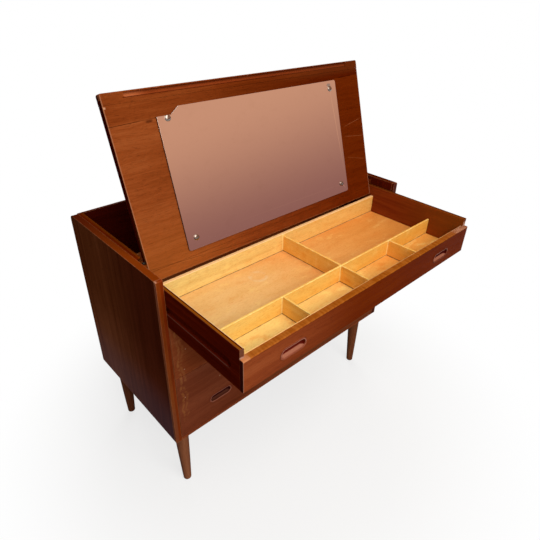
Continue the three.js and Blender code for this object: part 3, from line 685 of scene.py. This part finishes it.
def pull(name, x, y, z):
    """A finger pull as rings round a slot. A ring's point is its distance out from the slot's core
    line, at a depth behind the rim's face. The scoop's depth is an ellipse of that distance. Behind
    the upper lip the wall is pushed up by a bell curve of the depth, which makes the hook."""
    line = np.linspace(-pull_core, pull_core, pull_side_steps)
    turn = np.linspace(np.pi / 2, -np.pi / 2, pull_turn_steps)
    right_end, left_end = np.full(turn.size, pull_core), np.full(turn.size, -pull_core)
    core = np.concatenate([line, right_end, line[::-1], left_end])
    upward, downward = np.full(line.size, np.pi / 2), np.full(line.size, -np.pi / 2)
    angle = np.concatenate([upward, turn, downward, turn - np.pi])
    out = pull_outer - pull_round
    wall = quarter((out, pull_round), pull_round, 0, -np.pi / 2, pull_edge_steps)
    lip_centre = (pull_open + pull_lip, pull_lip)
    lip = quarter(lip_centre, pull_lip, -np.pi / 2, -np.pi, pull_edge_steps)
    rim = np.concatenate([[(0, pull_depth), (pull_outer, pull_depth)], wall, lip])
    sweep = np.linspace(0, np.pi / 2, pull_scoop_steps)[1:]
    scoop = np.stack([pull_open * np.cos(sweep), pull_lip + pull_scoop * np.sin(sweep)], axis=-1)
    profile = np.concatenate([rim, scoop])
    away, depth = profile[:, :1], profile[:, 1:]
    inside = np.concatenate([np.zeros(len(rim)), np.ones(len(scoop))])[:, None]
    lift = pull_hook_rise * np.exp(-((depth - pull_hook_depth) / pull_hook_spread) ** 2)
    lift = lift * inside * np.clip(np.sin(angle), 0, 1) ** 2 * np.clip(away / pull_open, 0, 1) ** 2
    across = core + away * np.cos(angle)
    up = away * np.sin(angle) + lift
    return surface(name, np.stack([across + x, depth + y + 0 * angle, up + z], axis=-1))


def cap(name, x, y):
    """A domed screw cap: a low rim, a dome whose height is a quarter ellipse of its radius, and the
    shank behind it. It is turned about the lid's thickness and then swung up with the lid."""
    dome = quarter((0, 0), 1.0, -np.pi / 2, 0, cap_rings) * (cap_radius, cap_dome)
    dome = dome + (0, cap_seat - cap_rim)
    behind = [(cap_radius, cap_seat), (shank_radius, cap_seat), (shank_radius, shank_top),
              (0, shank_top)]
    points = rings(np.concatenate([dome, behind]), cap_columns) + np.array([x, y, 0])
    c, s = math.cos(lid_swing), math.sin(lid_swing)
    swung = points @ np.array([[1, 0, 0], [0, c, s], [0, -s, c]]).T + np.array(pin_place)
    return surface(name, swung)


def dress(node, made):
    """Gives a CAD node its material, and softens its sharp arrises."""
    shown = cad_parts[node]
    shown.material_slots[0].material = made
    weld = shown.modifiers.new("joined", "WELD")
    weld.merge_threshold = weld_distance
    arris = shown.modifiers.new("arris", "BEVEL")
    arris.width = arris_width
    arris.segments = 2
    arris.limit_method = "ANGLE"
    arris.angle_limit = arris_angle


def stand_in(piece, node, body, made):
    """Puts a new piece in a node's place: it rides on the node's body and has its own material."""
    piece.data.materials.append(made)
    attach(piece, body)
    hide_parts(node)


def node_box(node):
    """The lowest and the highest corner of a node's box, as plain numbers."""
    return tuple(tuple(corner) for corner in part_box(node))


def metal(name, tone, roughness, seed, place=chest_place):
    """Polished or turned metal with fine hairlines and slightly uneven polish."""
    made = material(name)
    at = place(made.node_tree)
    haze = noise(at, (300.0, 300.0, 300.0), seed)
    hairs = noise(at, (400.0, 2600.0, 400.0), seed + 4, 2.0)
    colour = mixed(rise(haze, 0.45, 0.75) * 0.35, tint(tone), tint("8d867f"))
    relief = {"Height": hairs, "Strength": 0.08, "Distance": 0.0001}
    values = {"Base Color": colour, "Metallic": 1.0, "Roughness": roughness + (haze - 0.5) * 0.12,
              "Normal": at.node("ShaderNodeBump", None, relief)}
    return finished(made, at.node("ShaderNodeBsdfPrincipled", None, values))


def mirror_glass(name):
    """Old silvered glass: a faint haze of dust, a small grey oval where the silver has gone, and
    the sheet's dull ground edge, found where the surface turns away from the mirror's own
    direction and tinted dark brown as a painted shadow line between glass and wood."""
    made = material(name)
    at = lid_place(made.node_tree)
    outward = (0.0, -math.sin(lid_swing), -math.cos(lid_swing))
    facing = {0: at.node("ShaderNodeTexCoord", output="Normal"), 1: outward}
    turned = at.node("ShaderNodeVectorMath", {"operation": "DOT_PRODUCT"}, facing, 1)
    ground = rise(abs(turned), 0.97, 0.85)
    dust = rise(noise(at, (30.0, 40.0, 30.0), 71.0, 5.0, 0.65), 0.5, 0.85)
    wiped = noise(at, (3.0, 9.0, 3.0), 77.0, 2.0)
    x = at.node("ShaderNodeSeparateXYZ", None, {0: at})
    across, along = x - 0.274, x.other(1) + 0.312
    oval = rise(across * across + along * along * 4, 0.0001, 0.00004)
    colour = mixed(dust * 0.2, tint("ded6d0"), tint("c8bdb2"))
    colour = mixed(oval * 0.7, colour, tint("7d746c"))
    # Painted shadow line: the ground edge tinted dark brown
    colour = mixed(ground, colour, tint("4c2818"))
    roughness = 0.012 + dust * 0.02 + rise(wiped, 0.4, 0.7) * 0.01 + oval * 0.25 + ground * 0.4
    values = {"Base Color": colour, "Metallic": 1.0 - ground - oval * 0.3, "Roughness": roughness,
              "Specular IOR Level": 0.1}
    return finished(made, at.node("ShaderNodeBsdfPrincipled", None, values))


def lamp(name, place, aim, size, power, colour):
    """A square soft lamp at a place, turned to face the aim."""
    data = bpy.data.lights.new(name, "AREA")
    data.shape = "SQUARE"
    data.size = size
    data.energy = power
    data.color = colour
    made = bpy.data.objects.new(name, data)
    made.location = place
    made.rotation_euler = (Vector(place) - Vector(aim)).to_track_quat("Z", "Y").to_euler()
    bpy.context.scene.collection.objects.link(made)


# Carcass
for way, side in enumerate(("left", "right")):
    panel, lipping, strip = f"side_panel_{side}", f"side_lipping_{side}", f"guide_strip_{side}"
    dress(panel, wood(panel, teak_side, "z", 2.0 + way, box=node_box(panel), wear=0.45, shine=0.7,
                      contrast=0.8, gloss=0.0, marks=side_marks))
    dress(lipping, wood(lipping, teak_edge, "z", 8.0 + way, box=node_box(lipping),
                        marks=lipping_marks))
    dress(strip, wood(strip, teak_strip, "y", 12.0 + way, box=node_box(strip), wear=0.12,
                      gloss=0.0, marks=strip_marks))
    for label in ("top", "middle", "bottom"):
        runner = f"runner_{label}_{side}"
        dress(runner, wood(runner, beech, "y", 20.0 + way, box=node_box(runner), wear=0.3))
# The bottom panel takes the lighter middle tone as painted light on its shaded front lip
dress("bottom_panel", wood("bottom_panel", teak_middle, "x", 5.0, box=node_box("bottom_panel"),
                           gloss=0.03))
dress("back_panel", wood("back_panel", teak_side, "x", 6.0, box=node_box("back_panel"), wear=0.3,
                         gloss=0.02, marks=back_marks))

# Lid
lid_wood = wood("lid_veneer", teak_lid, "x", 31.0, lid_place, (lid_low, lid_high), gloss=0.0,
                fineness=1.4, shortness=2.0, sway=0.022, figure=0.8, pore=0.6, marks=lid_marks)
for node in ("lid_panel", "lid_front_rail", "lid_rear_rail"):
    dress(node, lid_wood)
dress("mirror", mirror_glass("mirror_glass"))
steel = metal("pin_steel", "34302c", 0.6, 81.0)
for side in ("left", "right"):
    dress(f"lid_pin_{side}", steel)
chrome = metal("chrome_cap", "8c847c", 0.16, 83.0, lid_place)
for node, (x, y) in cap_places.items():
    stand_in(cap(node.replace("mirror_screw", "cap"), x, y), node, "lid", chrome)

# Drawers: the shallow one is lighter inside than the two under it, whose darker insides are partly
# painted shade, and has marks of its own
for count, label in enumerate(("top", "middle", "bottom")):
    shallow = label == "top"
    body, front = f"{label}_drawer", f"drawer_{label}_front"
    # The middle and bottom fronts take the painted-light and painted-shade copies of the front teak
    front_tones = {"top": teak_front, "middle": teak_middle, "bottom": teak_lower}[label]
    # Painted shade towards the right end of the fronts and pulls
    front_right_shade = "be943a" if shallow else "e8e0d8"
    dress(front, wood(front, front_tones, "x", 40.0 + 3 * count, box=node_box(front),
                      wear=0.04 if shallow else 0.2, contrast=0.8, gloss=0.01, right_shade_tint=front_right_shade,
                      right_shade_reach=(-0.36, -0.05),
                      marks=top_front_marks if shallow else lower_front_marks))
    low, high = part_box(f"drawer_{label}_pull_left")
    # Scoop tone, painted hook shade and foot of the painted lit lip; the lower drawers' scoops are
    # near black as painted shade
    scoop = ("a86c54", "a04828", -0.004) if shallow else ("1c0404", "602018", -0.020)
    pull_wood = wood(f"pull_wood_{label}", teak_pull, "x", 37.0 + count, shine=0.42,
                     right_shade_tint=front_right_shade, marks=pull_marks(low.y, (low.z + high.z) / 2, *scoop))
    for way, side in enumerate(("left", "right")):
        node = f"drawer_{label}_side_{side}"
        dress(node, wood(node, teak_drawer if shallow else lower_drawer_dark_wood, "y", 50.0 + 2 * count + way,
                         box=node_box(node), wear=0.15, gloss=0.0,
                         marks=top_side_marks if shallow else None))
        node = f"drawer_{label}_pull_{side}"
        low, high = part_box(node)
        middle = (low + high) / 2
        made = pull(f"finger_pull_{label}_{side}", middle.x, low.y, middle.z)
        stand_in(made, node, body, pull_wood)
    node = f"drawer_{label}_back"
    dress(node, wood(node, beech if shallow else lower_drawer_dark_wood, "x", 60.0 + count, box=node_box(node),
                     contrast=0.7, pore=0.2, right_shade_tint="f8dab8", marks=wall_marks if shallow else None))
    node = f"drawer_{label}_floor"
    dress(node, wood(node, birch if shallow else lower_drawer_dark_wood, "x", 65.0 + count, wear=0.0, contrast=0.55,
                     fineness=0.35, shortness=2.5, pore=0.15, right_shade_tint="f6ca9b",
                     marks=floor_marks if shallow else None))
for node, along in (("divider_long", "x"), ("divider_rear", "y"), ("divider_front_1", "y"),
                    ("divider_front_2", "y"), ("divider_front_3", "y")):
    dress(node, wood(node, divider_beech, along, 70.0 + len(node), box=node_box(node), wear=0.7,
                     contrast=0.7, pore=0.2, right_shade_tint="f6dbb4",
                     marks=wall_marks if along == "x" else cross_marks))

# Legs
leg_wood = wood("leg_wood", teak_turned, "z", 90.0, shine=0.4, right_shade_tint="dcd0c4", marks=leg_marks)
for end, lean in (("front", -leg_lean), ("rear", leg_lean)):
    for side in ("left", "right"):
        node = f"leg_{end}_{side}"
        low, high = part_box(node)
        y = high.y - leg_shoulder if end == "front" else low.y + leg_shoulder
        made = leg(f"turned_leg_{end}_{side}", (low.x + high.x) / 2, y, lean)
        stand_in(made, node, "carcass", leg_wood)

# Studio: a pale floor that goes over to white away from the chest, a soft sky that is brightest in
# front and above, a key lamp in front and a weaker lamp that fills the back and the right side.
# Behind the chest the camera sees white, and shiny pieces reflect a warm glow
reach = 40
floor_corners = [(-reach, -reach, 0), (reach, -reach, 0), (reach, reach, 0), (-reach, reach, 0)]
floor_mesh = bpy.data.meshes.new("floor")
floor_mesh.from_pydata(floor_corners, [], [(0, 1, 2, 3)])
floor = bpy.data.objects.new("floor", floor_mesh)
bpy.context.scene.collection.objects.link(floor)
white = (1.0, 1.0, 1.0, 1.0)
floor_paint = material("floor_paint")
floor_at = chest_place(floor_paint.node_tree)
seen = floor_at.node("ShaderNodeLightPath", output="Is Camera Ray")
distance = floor_at.node("ShaderNodeVectorMath", {"operation": "LENGTH"}, {0: floor_at}, 1)
paint = mixed(seen, (0.26, 0.26, 0.26, 1.0), (0.88, 0.88, 0.88, 1.0))
matt = floor_at.node("ShaderNodeBsdfDiffuse", None, {"Color": paint})
bright = floor_at.node("ShaderNodeEmission", None, {"Color": white})
mirrored = most(seen.other("Is Glossy Ray"), seen.other("Is Transmission Ray"))
far = most((0.70 + rise(distance, 0.45, 1.0) * 0.30) * seen, rise(distance, 1.0, 1.8) * mirrored)
finished(floor_paint, floor_at.node("ShaderNodeMixShader", None, {0: far, 1: matt, 2: bright}))
floor.data.materials.append(floor_paint)

brightest = (0.0, -0.66, 0.75)
world = bpy.data.worlds.new("studio")
world.use_nodes = True
world.node_tree.nodes.clear()
bpy.context.scene.world = world
start = Wire(world.node_tree)
towards = start.node("ShaderNodeTexCoord")
seen = start.node("ShaderNodeLightPath", output="Is Camera Ray")
facing = {0: towards, 1: brightest}
cosine = start.node("ShaderNodeVectorMath", {"operation": "DOT_PRODUCT"}, facing, 1)
level = 0.05 + rise(cosine, -0.1, 1.0) * 0.42
cream = {"Color": (1.0, 0.96, 0.92, 1.0), "Strength": level}
soft = start.node("ShaderNodeBackground", None, cream)
height = start.node("ShaderNodeSeparateXYZ", None, {0: towards}, 2)
warm = mixed(rise(height, -0.02, 0.26), (0.36, 0.16, 0.14, 1.0), (0.78, 0.41, 0.27, 1.0))
glow = start.node("ShaderNodeBackground", None, {"Color": warm})
backdrop = start.node("ShaderNodeBackground", None, {"Color": white})
reflected = seen.other("Is Glossy Ray")
shiny = start.node("ShaderNodeMixShader", None, {0: reflected, 1: soft, 2: glow})
sky = start.node("ShaderNodeMixShader", None, {0: seen, 1: shiny, 2: backdrop})
start.node("ShaderNodeOutputWorld", None, {"Surface": sky})

lamp("key_lamp", (-0.35, -1.60, 2.30), (0, 0, 0.7), 1.9, 51.0, (1.0, 0.985, 0.95))
lamp("fill_lamp", (1.50, 2.00, 1.50), (0, 0, 0.5), 1.8, 26.0, (1.0, 0.98, 0.96))

# Camera at the photograph's place, turned by its right, up and backward directions
camera_place = (-0.83022, -0.83930, 1.33144)
camera_data = bpy.data.cameras.new("camera")
camera_data.sensor_width = 36.0
camera_data.lens = 30.616
camera = bpy.data.objects.new("camera", camera_data)
right = Vector((0.734107, -0.678664, 0.022397))
up = Vector((0.348792, 0.405175, 0.845090))
back = right.cross(up)
turned = Matrix((right, up, back)).transposed().to_4x4()
camera.matrix_world = Matrix.Translation(camera_place) @ turned
bpy.context.scene.collection.objects.link(camera)
bpy.context.scene.camera = camera
bpy.context.scene.view_settings.view_transform = "Standard"
